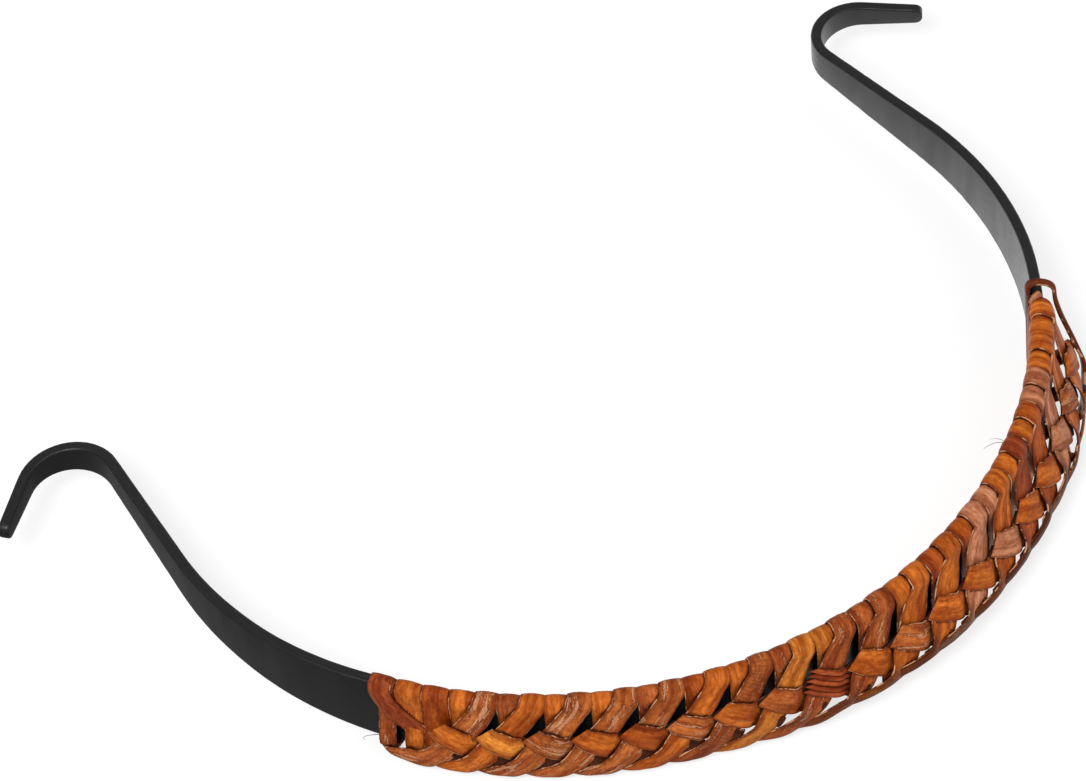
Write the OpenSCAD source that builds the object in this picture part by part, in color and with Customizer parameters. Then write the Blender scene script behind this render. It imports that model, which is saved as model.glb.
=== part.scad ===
// Hair hoop: a moulded strip with hooked ends whose front is bound and braided with flat rattan strand.
// Millimetres. The hoop lies on its side: X runs across the head, +Y to the open end, Z across the band.

/* [Hoop] */
// Radius of the front arc, to the face that lies on the hair
front_r = 71.7; // [64:0.1:80]
// Radius of the tighter arcs at the sides, to the same face
side_r = 60; // [50:0.5:75]
// Thickness of the hoop
hoop_t = 1.75; // [1.2:0.05:2.4]
// Width of the hoop along its front
hoop_w = 12.7; // [10:0.1:18]
// Width of the hoop at its blunt tips
tip_w = 2.9; // [2.4:0.1:5]
// Length over which each end narrows from the front width to the tip width
taper_len = 90; // [70:1:110]
// Half of the angle that the front arc covers
front_half_angle = 61; // [60:0.5:64]
// Angle that each side arc covers
side_angle = 34; // [28:0.5:38]
// Straight stretch between the side arc and the hook
arm_len = 23.3; // [12:0.1:35]
// Outer radius of the hook at each end
hook_r = 8.2; // [6:0.1:12]
// Angle through which each hook curls outwards
hook_turn = 135; // [90:1:150]
// Straight tip beyond the hook
tip_len = 9.9; // [5:0.1:15]
// Rounding along the edges of the moulding
edge_r = 0.4; // [0.2:0.05:0.55]

/* [Rattan strand] */
// Width of the strand
strand_w = 3.6; // [3:0.05:3.7]
// Width of the strand where the turns are squeezed side by side
turn_w = 3.1; // [2.4:0.05:3.15]
// Thickness of the strand
strand_t = 0.4; // [0.3:0.05:0.5]
// Width of a hitch, where the strand is pulled flat
hitch_w = 3.8; // [3.4:0.05:4]
// Clearance between the layers of strand
layer_gap = 0.06; // [0.05:0.01:0.12]

/* [Braid] */
// Number of over strokes, each with its hitch
stroke_count = 19; // [6:1:19]
// Angle round the front from one stroke to the next, in the loose end of the braid
pitch = 5.48; // [5.4:0.02:5.6]
// The same in the tight start of the braid
tight_pitch = 5.23; // [5.2:0.01:5.6]
// Number of strokes in the tight start
tight_strokes = 8; // [0:1:19]
// Angle at which the first over stroke crosses the top edge
first_stroke = -44.3; // [-46:0.05:-43]
// Number of plain turns that start the binding
start_turn_count = 4; // [2:1:4]
// Angle at which the braid slopes outwards at its tight start
tight_flare = 8.5; // [0:0.5:20]
// Angle at which the braid slopes outwards where it is loose
loose_flare = 28.5; // [0:0.5:32]
// How far the last loop bulges out
loop_out = 1.5; // [1:0.1:3]

/* [Hidden] */

black = "#26272a";
tan_light = "#cf8648";
tan_mid = "#b8702f";
tan_dark = "#a35f28";
splice_red = "#b5603a";

// ---- the hoop's middle surface, from the front middle out to the right tip ----
mid_r = front_r + hoop_t / 2;
side_mid_r = side_r + hoop_t / 2;
bend_r = hook_r - hoop_t / 2;
front_len = mid_r * front_half_angle * PI / 180;
side_len = side_mid_r * side_angle * PI / 180;
bend_len = bend_r * hook_turn * PI / 180;
side_end = front_len + side_len;
arm_end = side_end + arm_len;
bend_end = arm_end + bend_len;
half_len = bend_end + tip_len;
tip_round = tip_w * 0.42;

// A place is [x, y, heading]; each function carries one on along a straight or round a bend.
function straight(p, len) = [p[0] + len * cos(p[2]), p[1] + len * sin(p[2]), p[2]];
function left_bend(p, r, a) =
    [p[0] + r * (sin(p[2] + a) - sin(p[2])), p[1] - r * (cos(p[2] + a) - cos(p[2])), p[2] + a];
function degrees_of(len, r) = len / r * 180 / PI;

front_middle = [0, -mid_r, 0];
front_place = left_bend(front_middle, mid_r, front_half_angle);
side_place = left_bend(front_place, side_mid_r, side_angle);
arm_place = straight(side_place, arm_len);
bend_place = left_bend(arm_place, -bend_r, -hook_turn);
function hoop_place(s) =
    s <= front_len ? left_bend(front_middle, mid_r, degrees_of(s, mid_r))
    : s <= side_end ? left_bend(front_place, side_mid_r, degrees_of(s - front_len, side_mid_r))
    : s <= arm_end ? straight(side_place, s - side_end)
    : s <= bend_end ? left_bend(arm_place, -bend_r, -degrees_of(s - arm_end, bend_r))
    : straight(bend_place, s - bend_end);

// Width of the band at a distance s from the front middle; the blunt tip is rounded off.
function taper_w(s) = min(hoop_w, tip_w + (hoop_w - tip_w) * (half_len - s) / taper_len);
function tip_cut(s) =
    let (over = max(0, s - half_len + tip_round) / tip_round)
    tip_round * (1 - sqrt(max(0, 1 - over * over)));
function band_w(s) = taper_w(s) - 2 * tip_cut(s);

// ---- how the strand's layers lie on the band ----
edge_core = hoop_t / 2;
edge_inset = 0.6;
strand_step = strand_t + layer_gap;
first_h = 0.1;
lead_h = first_h + strand_step;
over_h = lead_h + strand_step;
hitch_top_h = over_h + 1.5 * strand_step;
hitch_climb = 1.6 * strand_step;
half_w = hoop_w / 2;
tight_rim = 0.83 * half_w;
loose_rim = 0.72 * half_w;
tight_tail_w = 3.1;
loose_tail_w = 1.7;
lead_w = 1.8;

// ---- the surface that the strand follows round the band ----
// turn: 0 top edge, 1 and -1 its outer and inner corners, 2 and -2 the lower corners, 3 or -3 lower edge.
function hoop_s(a) = abs(a) * mid_r * PI / 180;
function flat_half(a) = taper_w(hoop_s(a)) / 2 - edge_inset;
function side_of(turn) = turn < 0 ? -1 : 1;
function round_angle(turn) =
    let (u = abs(turn))
    side_of(turn) * (u <= 1 ? 90 * u : u <= 2 ? 90 : 90 + 90 * (u - 2));
function core_z(a, turn) =
    let (u = abs(turn), f = flat_half(a))
    u <= 1 ? f : u <= 2 ? f - 2 * f * (u - 1) : -f;
// The turn at which the outer face has height z
function turn_at(a, z) = 1 + (flat_half(a) - z) / (2 * flat_half(a));

// The braid is tight at its start and loose at its end, where its strips lie on a sheet that slopes outwards.
loose_from = -22;
loose_to = 9;
hang_len = 4;
function ease(a, b, x) =
    let (u = min(1, max(0, (x - a) / (b - a))))
    u * u * (3 - 2 * u);
function lerp(a, b, t) = a + (b - a) * t;
function looseness(a) = ease(loose_from, loose_to, a) * (1 - 0.35 * ease(36, 56, a));
function slope_angle(a) = lerp(tight_flare, loose_flare, looseness(a));

// A strand point is [angle, turn, height over the band, width, share of the sheet's slope].
// A point with the full slope beyond turn 2 hangs below the band instead of going round its edge.
// Near the rim the strips stand upright again.
function at(a, out, z) = [(mid_r + out) * sin(a), -(mid_r + out) * cos(a), z];
function hang(k) = k[4] == 1 ? max(0, k[1] - 2) : 0;
function turned(k) = hang(k) > 0 ? 90 : round_angle(k[1]);
function strand_z(k) = core_z(k[0], k[1]) + (edge_core + k[2]) * cos(turned(k)) - hang_len * hang(k);
function sheet_depth(z) = max(0, half_w - max(z, -0.55 * half_w - 0.15 * (0.55 * half_w + z)));
function strand_pos(k) =
    let (z = strand_z(k))
    at(k[0], (edge_core + k[2]) * sin(turned(k)) + k[4] * tan(slope_angle(k[0])) * sheet_depth(z), z);
function strand_normal(k) =
    let (upright = ease(0.35, 0.7, -strand_z(k) / half_w),
         b = turned(k) - k[4] * slope_angle(k[0]) * (1 - upright))
    [sin(b) * sin(k[0]), -sin(b) * cos(k[0]), cos(b)];

function unit(v) = v / norm(v);
function curve(p, t) =
    p[0] * pow(1 - t, 3) + 3 * p[1] * t * pow(1 - t, 2) + 3 * p[2] * t * t * (1 - t) + p[3] * pow(t, 3);

// Cross section of the strand at one station: flat under, bevelled on top.
// A sixth value in a strand point lifts the strand's left edge over its right one,
// and a seventh one slides the left edge forwards.
bevel = 0.9;
function lean_of(k) = len(k) > 5 ? k[5] / k[3] : 0;
function slide_of(k) = len(k) > 6 ? k[6] : 0;
function strand_ring(keys, i) =
    let (last = len(keys) - 1,
         p = strand_pos(keys[i]),
         t = unit(strand_pos(keys[min(last, i + 1)]) - strand_pos(keys[max(0, i - 1)])),
         level = unit(cross(t, strand_normal(keys[i]))),
         across = unit(level + cross(level, t) * lean_of(keys[i])),
         up = cross(across, t),
         edge = across * keys[i][3] / 2,
         left = t * slide_of(keys[i]) - edge)
    [p + left, p + edge, p + edge * bevel + up * strand_t, p + left * bevel + up * strand_t];

function ring_faces(rings, sides) =
    [for (i = [0 : rings - 2], j = [0 : sides - 1])
        let (a = i * sides + j, b = i * sides + (j + 1) % sides)
        each [[a, a + sides, b], [b, a + sides, b + sides]]];
function first_cap(sides) = [for (j = [0 : sides - 1]) j];
function last_cap(rings, sides) = [for (j = [sides - 1 : -1 : 0]) (rings - 1) * sides + j];

module sweep(rings) {
    sides = len(rings[0]);
    polyhedron(
        points = [for (ring = rings) each ring],
        faces = concat(ring_faces(len(rings), sides),
                       [first_cap(sides), last_cap(len(rings), sides)]),
        convexity = 6);
}

module strand(keys) {
    sweep([for (i = [0 : len(keys) - 1]) strand_ring(keys, i)]);
}

// ---- the hoop ----
corner_steps = 3;
function band_section(w) =
    let (x = hoop_t / 2 - edge_r, z = max(0.02, w / 2 - edge_r), r = min(edge_r, w / 2 - 0.01))
    [for (c = [[1, 1, 0], [-1, 1, 90], [-1, -1, 180], [1, -1, 270]], i = [0 : corner_steps - 1])
        let (b = c[2] + 90 * i / (corner_steps - 1))
        [c[0] * x + edge_r * cos(b), c[1] * z + r * sin(b)]];
function band_ring(s) =
    let (p = hoop_place(abs(s)), m = s < 0 ? -1 : 1)
    [for (q = band_section(band_w(abs(s))))
        [m * (p[0] + q[0] * sin(p[2])), p[1] - q[0] * cos(p[2]), q[1]]];

front_steps = 17;
side_steps = 10;
bend_steps = 12;
round_angles = [0, 30, 55, 75, 86];
half_stations = concat(
    [for (i = [0 : front_steps]) front_len * i / front_steps],
    [for (i = [1 : side_steps]) front_len + side_len * i / side_steps],
    [for (i = [1 : 2]) side_end + arm_len * i / 2],
    [for (i = [1 : bend_steps]) arm_end + bend_len * i / bend_steps],
    [for (a = round_angles) half_len - tip_round + tip_round * sin(a)]);
stations = concat([for (i = [len(half_stations) - 1 : -1 : 1]) -half_stations[i]], half_stations);

module hoop() {
    color(black) sweep([for (s = stations) band_ring(s)]);
}

// ---- the strand's runs ----
edge_w = 2.8;
seam = 2.96;
top_offset = 0.35;
top_slant = [0.8, 0.65, 0.4];
function stroke_angle(k) = first_stroke + tight_pitch * min(k, tight_strokes) + pitch * max(0, k - tight_strokes);
function plain_angle(k) = stroke_angle(k + 0.56);
function tail_angle(k) = stroke_angle(k + 0.06);

// Up the hair side from the lower edge at angle a to the top edge at angle b
function inner_run(a, b, low_h, top_h) = [
    [a, -seam, low_h, edge_w, 0],
    [a, -2.6, low_h, edge_w, 0],
    [a, -2.25, low_h, lerp(edge_w, turn_w, 0.7), 0],
    [a, -2, low_h, turn_w, 0],
    [b, -1, lerp(low_h, top_h, 0.1), turn_w, 0],
    [b, -0.75, lerp(low_h, top_h, 0.5), turn_w, 0],
    [b, -0.4, top_h, turn_w, 0]];

// Plain turn: straight over the top, down the outer face and round to the lower edge
plain_w = min(strand_w, 3.3);
function plain_keys(a, b) = concat(
    inner_run(a, b, first_h, first_h),
    [for (u = [0, 0.4, 0.75, 1]) [b, u, first_h, lerp(turn_w, plain_w, u), 0]],
    [[b, 2, first_h, plain_w, 0],
     [b, 2.25, first_h, lerp(edge_w, turn_w, 0.7), 0],
     [b, 2.6, first_h, edge_w, 0],
     [b, seam, first_h, edge_w, 0]]);

// Over stroke: over the top, slanting down over the plain turn, under its own hitch,
// over the end of the hitch before, out to the rim, in behind the stroke before,
// and up the outer face as the lead to the second hitch before.
// The control points are angles from the stroke's own and heights over the band's middle.
stroke_steps = 14;
tight_run = [0, -4.2, -7.7, -14];
loose_run = [0.2, -2.7, -6.7, -13.8];
tight_fall = [half_w - edge_inset, -0.19 * half_w, -tight_rim, -tight_rim];
loose_fall = [half_w - edge_inset, 0.24 * half_w, -0.96 * loose_rim, -loose_rim];
top_w = 3.8;
function braid_looseness(c) = looseness(c - pitch);
function stroke_h(t) =
    lerp(lerp(lead_h, over_h, ease(0.1, 0.25, t)) + hitch_climb * ease(0.5, 0.6, t), lead_h, ease(0.66, 0.78, t))
    + 0.25 * stroke_lean(t);
function stroke_lean(t) = 0.5 * strand_step * ease(0.38, 0.5, t) * (1 - ease(0.56, 0.66, t));
function outer_key(a, z, h, w, slope, lean) =
    let (f = flat_half(a))
    z >= -f ? [a, turn_at(a, z), h, w, slope, lean]
    : [a, 2 + (-f - z) / hang_len, h, w, 1];
function tail_w(g) = lerp(tight_tail_w, loose_tail_w, g);
function stroke_key(c, t) =
    let (g = braid_looseness(c))
    outer_key(c + curve(lerp(tight_run, loose_run, g), t),
              curve(lerp(tight_fall, loose_fall, g), t),
              stroke_h(t),
              lerp(lerp(lerp(top_w, strand_w, ease(0, 0.3, t)), tail_w(g), ease(0.45, 0.72, t)),
                   lead_w, ease(0.7, 0.8, t)),
              ease(0, 0.15, t), stroke_lean(t));
first_tuck = 0.75;
function stroke_end(c) = c == first_stroke ? first_tuck : 1;
function tuck_keys(c) =
    let (a = stroke_key(c, first_tuck)[0])
    [for (i = [0 : 3]) [a - 0.8 * (i + 1), 2 + 0.3 * (i + 0.2), lerp(over_h, first_h, i / 3), turn_w, 0]];
function stroke_keys(c, from) = concat(
    inner_run(from, c + top_offset, first_h, lead_h),
    [for (i = [0 : 2]) [c + top_slant[i], 0.4 * i, lead_h, lerp(turn_w, top_w, min(1, 0.8 * i)), 0]],
    [for (i = [0 : stroke_steps]) if (i / stroke_steps <= stroke_end(c)) stroke_key(c, i / stroke_steps)],
    c == first_stroke ? tuck_keys(c) : []);

// Lead: up from the rim behind the second stroke before, to the left end of that stroke's hitch
lead_steps = 7;
lead_run = 3.4;
function lead_key(c, t) =
    let (g = braid_looseness(c), rim = -lerp(tight_rim, loose_rim, g), top = 0.1 * half_w)
    outer_key(c + lerp(tight_run[3], loose_run[3], g) - lead_run * t - 0.3 * sin(180 * t),
              curve([rim, rim, lerp(rim, top, 0.5), top], t),
              lerp(stroke_h(1), lead_h, ease(0, 0.3, t)),
              lead_w, 1, 0);

// Hitch: bends over the edge of its stroke, crosses it and dives under the next stroke
hitch_steps = 8;
hitch_run = [-6, -4, -2.2, -0.9];
hitch_fall = half_w * [0.23, 0.03, -0.18, -0.36];
fold_slant = 1.2;
hitch_shift = -0.5;
fold_w = 3.4;
function hitch_h(t) =
    lerp(lerp(over_h, hitch_top_h, ease(0, 0.2, t)), lead_h, ease(0.55, 0.8, t));
function hitch_lean(t) = 1.2 * strand_step * ease(0.5, 0.65, t);
function hitch_key(c, t) =
    let (a = c + curve(hitch_run, t) + hitch_shift * braid_looseness(c), z = curve(hitch_fall, t),
         w = lerp(lerp(fold_w, hitch_w, ease(0, 0.25, t)), turn_w, ease(0.7, 1, t)))
    [a, turn_at(a, z), hitch_h(t), w, 1, hitch_lean(t), fold_slant * (1 - ease(0, 0.4, t))];
function hitch_keys(c) = [for (i = [0 : hitch_steps]) hitch_key(c, i / hitch_steps)];

// Return: from the end of a hitch down under the stroke and round the lower edge, where the next turn starts
return_steps = 6;
function return_keys(c) = concat(
    [for (i = [0 : return_steps])
        let (t = i / return_steps, a = c + 0.1, z = lerp(-0.36, -0.88, t) * half_w)
        [a, turn_at(a, z), first_h, edge_w, 1 - ease(0, 1, t)]],
    [[c + 0.15, 2.25, first_h, edge_w, 0],
     [c + 0.25, 2.6, first_h, edge_w, 0]]);

start_spacing = 3.2;
module start_turns() {
    color(tan_mid)
    for (i = [0 : start_turn_count - 1])
        strand(plain_keys(plain_angle(-1) - start_spacing * (i + 1), plain_angle(-1) - start_spacing * i));
}

// The strap that starts the braid: over the top at the end of the binding, then down under the first stroke
strap_top = -6.9;
module start_strap() {
    c = stroke_angle(-1);
    color(tan_light)
    strand(concat(
        inner_run(c + strap_top - 1.5, c + strap_top, lead_h, lead_h),
        [for (u = [0, 0.4, 0.75, 1]) [c + strap_top, u, lead_h, lerp(turn_w, strand_w, u), 0]],
        [for (i = [1 : 8])
            let (t = i / 8, a = c + curve([strap_top, -5.9, -3.4, -1.6], t),
                 z = curve(half_w * [0.9, 0.3, -0.2, -0.87], t))
            [a, turn_at(a, z), lead_h, strand_w, 0]],
        [[c - 1, 2.25, lead_h, turn_w, 0],
         [c - 0.8, 2.6, lead_h, edge_w, 0]]));
}

module plain_turns() {
    color(tan_mid)
    for (k = [0 : stroke_count - 2])
        strand(concat(return_keys(stroke_angle(k)), plain_keys(tail_angle(k), plain_angle(k))));
}

module over_strokes() {
    color(tan_light)
    for (k = [0 : stroke_count - 1])
        strand(stroke_keys(stroke_angle(k), plain_angle(k - 1)));
}

module leads() {
    color(tan_mid)
    for (k = [2 : stroke_count - 1])
        strand([for (i = [1 : lead_steps]) lead_key(stroke_angle(k), i / lead_steps)]);
}

splice_index = 8;
module hitches() {
    color(tan_dark)
    for (k = [0 : stroke_count - 1])
        if (k != splice_index) strand(hitch_keys(stroke_angle(k)));
}

module splice_hitch() {
    color(splice_red) strand(hitch_keys(stroke_angle(splice_index)));
}

// The last loop follows the course of one more stroke, but narrow and bulging out
loop_top = 3.35;
loop_w = 1.4;
module end_loop() {
    c = stroke_angle(stroke_count);
    top = stroke_angle(stroke_count - 1) + loop_top;
    color(tan_light)
    strand(concat(
        return_keys(stroke_angle(stroke_count - 1)),
        inner_run(tail_angle(stroke_count - 1), top, first_h, first_h),
        [for (u = [0, 0.4, 0.75]) [top, u, first_h, lerp(turn_w, loop_w, u / 0.75), 0]],
        [for (i = [0 : stroke_steps])
            let (t = i / stroke_steps, k = stroke_key(c, t))
            [k[0] - (c - top) * (1 - ease(0, 0.5, t)), k[1], k[2] + loop_out * sin(180 * t),
             lerp(loop_w, loose_tail_w, ease(0.3, 0.7, t)), k[4]]]));
}

// ---- where the object's box puts the origin: middle of its footprint, on the surface ----
hook_top_y = left_bend(arm_place, -bend_r, -front_half_angle - side_angle)[1] + hoop_t / 2;
widest_rim = 3;
rim_ease = 0.21;
front_y = rim_ease - mid_r - edge_core - over_h - hitch_climb - strand_t
    - tan(slope_angle(widest_rim)) * 1.5 * half_w;
centre_y = -(hook_top_y + front_y) / 2;
tuck_drop = 1.479;
low_z = half_w + tuck_drop;

module seated() {
    translate([0, centre_y, low_z]) children();
}

seated() hoop();
seated() start_turns();
seated() start_strap();
seated() plain_turns();
seated() over_strokes();
seated() leads();
seated() hitches();
seated() splice_hitch();
seated() end_loop();
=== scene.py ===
"""Dresses the hair hoop: a finer hoop, and rattan strips on the same courses as the CAD strips.

Shapes are worked out in millimetres about the centre of the hoop's front arc, with z = 0 at the
band's mid-height. seat() takes them to metres in the CAD's frame.
"""
import math
from collections import namedtuple

import bpy
import numpy as np
from mathutils import Matrix, Vector
from mathutils.bvhtree import BVHTree


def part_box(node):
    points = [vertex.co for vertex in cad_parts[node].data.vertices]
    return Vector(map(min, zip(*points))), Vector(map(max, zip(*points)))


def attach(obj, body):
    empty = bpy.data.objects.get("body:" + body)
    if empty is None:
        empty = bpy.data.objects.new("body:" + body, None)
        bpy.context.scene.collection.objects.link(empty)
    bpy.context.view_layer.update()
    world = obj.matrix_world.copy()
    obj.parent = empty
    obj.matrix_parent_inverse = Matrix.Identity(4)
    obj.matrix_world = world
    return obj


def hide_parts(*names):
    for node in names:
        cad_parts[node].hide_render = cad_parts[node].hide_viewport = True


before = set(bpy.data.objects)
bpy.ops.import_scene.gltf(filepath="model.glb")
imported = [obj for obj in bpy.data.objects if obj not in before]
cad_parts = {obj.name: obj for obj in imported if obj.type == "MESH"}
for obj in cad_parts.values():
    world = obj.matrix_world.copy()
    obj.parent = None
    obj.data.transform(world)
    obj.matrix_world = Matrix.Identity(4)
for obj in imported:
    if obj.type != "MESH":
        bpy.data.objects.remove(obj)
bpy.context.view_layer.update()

MM = 0.001
UV_SCALE = 0.1  # texture coordinates have 10 mm to the unit

# ---------------------------------------------------------------- the hoop's sizes, as in the part's source
FRONT_R, SIDE_R, HOOP_T, HOOP_W, TIP_W = 71.7, 60.0, 1.75, 12.7, 2.9
TAPER_LEN, FRONT_HALF, SIDE_ANGLE, ARM_LEN = 90.0, 61.0, 34.0, 23.3
HOOK_R, HOOK_TURN, TIP_LEN, EDGE_R = 8.2, 135.0, 9.9, 0.4
MID_R = FRONT_R + HOOP_T / 2
SIDE_MID_R = SIDE_R + HOOP_T / 2
BEND_R = HOOK_R - HOOP_T / 2
FRONT_LEN = MID_R * math.radians(FRONT_HALF)
SIDE_END = FRONT_LEN + SIDE_MID_R * math.radians(SIDE_ANGLE)
ARM_END = SIDE_END + ARM_LEN
BEND_END = ARM_END + BEND_R * math.radians(HOOK_TURN)
HALF_LEN = BEND_END + TIP_LEN
TIP_ROUND = TIP_W * 0.42
HALF_W = HOOP_W / 2

# ---------------------------------------------------------------- the hoop's finish
CORNER_POINTS = 6  # round each corner of the section
HOOP_STATION = 0.9
TIP_ANGLES = (0, 15, 30, 42, 54, 64, 73, 80, 86)
FLASH, FLASH_RATE = 0.022, 2.3  # uneven corners
WOBBLE, WOBBLE_LEN = 0.03, 9  # uneven thickness

# ---------------------------------------------------------------- the braid's spacing, in degrees
STROKES, TIGHT_STROKES, FIRST_STROKE = 19, 8, -44.3
PITCH, TIGHT_PITCH = 5.48, 5.23
LOOSE_FROM, LOOSE_TO = -22, 9
END_FROM, END_TO, END_TIGHTENS = 36, 56, 0.35
PLAIN_OFFSET, TAIL_OFFSET = 0.56, 0.06  # in strokes
START_SPACING = 3.2

# ---------------------------------------------------------------- heights over the band, by layer
EDGE_CORE, EDGE_INSET = HOOP_T / 2, 0.6
STEP = 0.46
FIRST_H = 0.1
LEAD_H = FIRST_H + STEP
OVER_H = LEAD_H + STEP
HITCH_TOP_H = OVER_H + 1.5 * STEP
TOP_H, LOOP_H = 0.3, 0.7

# ---------------------------------------------------------------- how the strokes stand off the band
TIGHT_FLARE, LOOSE_FLARE, SLACK = 10.5, 26.5, 0.9
SHEET_KNEE, SHEET_POWER, SHEET_RETURN = 0.55, 1.9, 0.15
UPRIGHT_BACK, START_SLOPE = 1.75, 0.8
TURN_LEAN, TOP_LEAN, TAIL_LEAN, END_UPRIGHT = 0.24, 0.3, -0.55, 0.6
HITCH_LEAN, FOLD_SLIDE = 1.2 * STEP, 1.2
LOOP_OUT, LOOP_LIFT = -0.1, 0.3

# ---------------------------------------------------------------- widths
EDGE_W, TURN_W, TOP_W, STRAND_W, LOOSE_W = 3.2, 3.6, 3.9, 3.9, 4.8
TIGHT_TAIL_W, LOOSE_TAIL_W, TAIL_END_W = 3.1, 1.6, 1.6
TIGHT_LEAD_W, LEAD_START_W, LEAD_W = 4.8, 1.2, 3.0
START_W, PLAIN_W, LAST_PLAIN_W, FOLD_W, HITCH_W = 4.15, 3.9, 4.8, 3.5, 4.2
FIRST_TAIL_W, FIRST_END_W, TUCK_W = 3.6, 2.4, 2.2
LOOP_W, LOOP_RISE_W = 1.25, (TURN_W, 2.2, 1.5)

# ---------------------------------------------------------------- courses
# Runs are degrees along the hoop, and falls are heights on the face: four of either steer a curve.
# A fall of three starts at the top of the face.
SEAM, UNDER = 2.96, 2.6  # turns round the lower edge: where a wrap's ends meet, and part of the way there
OVER_TOP = (0, 0.4, 0.75, 1)  # turns of the keys over the top edge
RIM_T, LOOSE_RIM = 0.68, 3.1  # the share of a stroke before the rim, and how far down the loose rim is
RIM_TURN, TIGHT_TURN = 2.05, 2.9  # of a tight tail, at the rim and at its end
TIGHT_RUN, TIGHT_FALL, TIGHT_RIM_RUN = (0, -2.2, -5.6, -8.6), (2.3, -3.6, -6.3), 3.6
LOOSE_RUN, LOOSE_FALL, LOOSE_RIM_RUN = (0.2, -1.8, -5.2, -8.2), (2.9, -LOOSE_RIM, -LOOSE_RIM), 5.8
FIRST_RUN, FIRST_FALL = (0, -1.6, -5.8, -11), (2.0, -6.2, -7.7)
TOP_OFFSET, TOP_SLANT, TOP_WIDENS = 0.35, (0.45, 0.3, 0.1), 0.8
TUCK_KEYS, TUCK_RUN, TUCK_TURN = 3, 0.5, 0.25
TIGHT_LEAD_RUN, TIGHT_LEAD_FALL = (-12.2, 4.4), (-5.5, -5.3, -4, 0.4)
LOOSE_LEAD_RUN, LOOSE_LEAD_FALL = (-15.6, 1.6), (-LOOSE_RIM, -LOOSE_RIM, -1.2, 0.8)
HITCH_RUN, TIGHT_HITCH_SHIFT, LOOSE_HITCH_SHIFT = (-6, -4, -2.2, -0.9), 0.4, 0.3
HITCH_FALL, HITCH_RAISE = (0.23, 0.03, -0.18, -0.36), 0.4  # the fall in half widths of the band
RETURN_FALL, RETURN_SHIFTS = (-0.36, -0.88), (0.1, 0.15, 0.25)  # the fall in half widths of the band
STRAP_RUN, STRAP_FALL, STRAP_SLANT = (-6.9, -6, -3.6, -0.9), (5.7, 1.6, 0.3, -3.9), 1.5
LOOP_TOP = 3.9
STROKE_STEPS, LEAD_STEPS, HITCH_STEPS, RETURN_STEPS, STRAP_STEPS = 60, 30, 40, 6, 30

hoop_lo, hoop_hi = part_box("hoop")
CENTRE_Y = hoop_lo.y / MM + MID_R + EDGE_CORE
CENTRE_Z = (hoop_lo.z + hoop_hi.z) / 2 / MM


def seat(points):
    """Millimetres about the hoop's centre to metres in the CAD's frame, with nothing below its floor."""
    p = np.array(points, float)
    p[:, 1] += CENTRE_Y
    p[:, 2] = np.maximum(p[:, 2] + CENTRE_Z, 0.0)
    return p * MM


# ---------------------------------------------------------------- camera, at the photograph's angle
HEADING, TILT, ROLL = math.radians(30.02), math.radians(49.08), math.radians(6.69)
CAMERA_X, CAMERA_Y, CAMERA_Z = -0.2090, -0.35281, 0.46335  # metres from the hoop's centre
right = Vector((math.cos(HEADING), -math.sin(HEADING), 0))
ahead = Vector((math.sin(HEADING) * math.cos(TILT), math.cos(HEADING) * math.cos(TILT), -math.sin(TILT)))
above = right.cross(ahead)
turned_right = right * math.cos(ROLL) - above * math.sin(ROLL)
turned_up = right * math.sin(ROLL) + above * math.cos(ROLL)
camera_data = bpy.data.cameras.new("camera")
camera_data.sensor_width = 36.0
camera_data.lens = 132.24
camera_data.clip_start = 0.01
camera = bpy.data.objects.new("camera", camera_data)
bpy.context.scene.collection.objects.link(camera)
camera.matrix_world = Matrix((
    (turned_right.x, turned_up.x, -ahead.x, CAMERA_X),
    (turned_right.y, turned_up.y, -ahead.y, CAMERA_Y + CENTRE_Y * MM),
    (turned_right.z, turned_up.z, -ahead.z, CAMERA_Z + CENTRE_Z * MM),
    (0, 0, 0, 1)))
bpy.context.scene.camera = camera


# ---------------------------------------------------------------- small helpers
def ease(a, b, x):
    """From 0 at a to 1 at b, smoothly."""
    u = min(1.0, max(0.0, (x - a) / (b - a)))
    return u * u * (3 - 2 * u)


def ease_rows(a, b, x):
    """The same as ease, for an array."""
    u = np.clip((x - a) / (b - a), 0, 1)
    return u * u * (3 - 2 * u)


def lerp(a, b, t):
    return a + (b - a) * t


def steps(t, value, *changes):
    """A value along a course: each change (from, to, new) eases it to a new value."""
    for a, b, new in changes:
        value = lerp(value, new, ease(a, b, t))
    return value


def bezier(a, b, c, d, t):
    return a * (1 - t) ** 3 + 3 * b * t * (1 - t) ** 2 + 3 * c * t * t * (1 - t) + d * t ** 3


def rows_to_unit(v):
    return v / np.linalg.norm(v, axis=1)[:, None]


def resample(at, known, rows):
    """The rows' values at new places along a run."""
    return np.stack([np.interp(at, known, column) for column in rows.T], 1)


def blur(rows, sigma):
    """Gaussian smoothing along a run, with the ends kept."""
    reach = max(1, int(3 * sigma))
    w = np.exp(-0.5 * (np.arange(-reach, reach + 1) / sigma) ** 2)
    w /= w.sum()
    before = 2 * rows[:1] - rows[reach:0:-1]
    after = 2 * rows[-1:] - rows[-2:-reach - 2:-1]
    padded = np.concatenate([before, rows, after])
    return np.stack([np.convolve(column, w, "valid") for column in padded.T], 1)


def value_noise(seed, nx, ny):
    """A smooth random surface over a wrapped grid: returns f(x, y) in -1 to 1."""
    grid = np.random.default_rng(seed).uniform(-1, 1, (nx, ny))

    def sample(x, y):
        x, y = np.asarray(x, float), np.asarray(y, float)
        i, j = np.floor(x).astype(int), np.floor(y).astype(int)
        u, v = x - i, y - j
        u, v = u * u * (3 - 2 * u), v * v * (3 - 2 * v)
        a, b = grid[i % nx, j % ny], grid[(i + 1) % nx, j % ny]
        c, d = grid[i % nx, (j + 1) % ny], grid[(i + 1) % nx, (j + 1) % ny]
        return (a * (1 - u) + b * u) * (1 - v) + (c * (1 - u) + d * u) * v

    return sample


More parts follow.
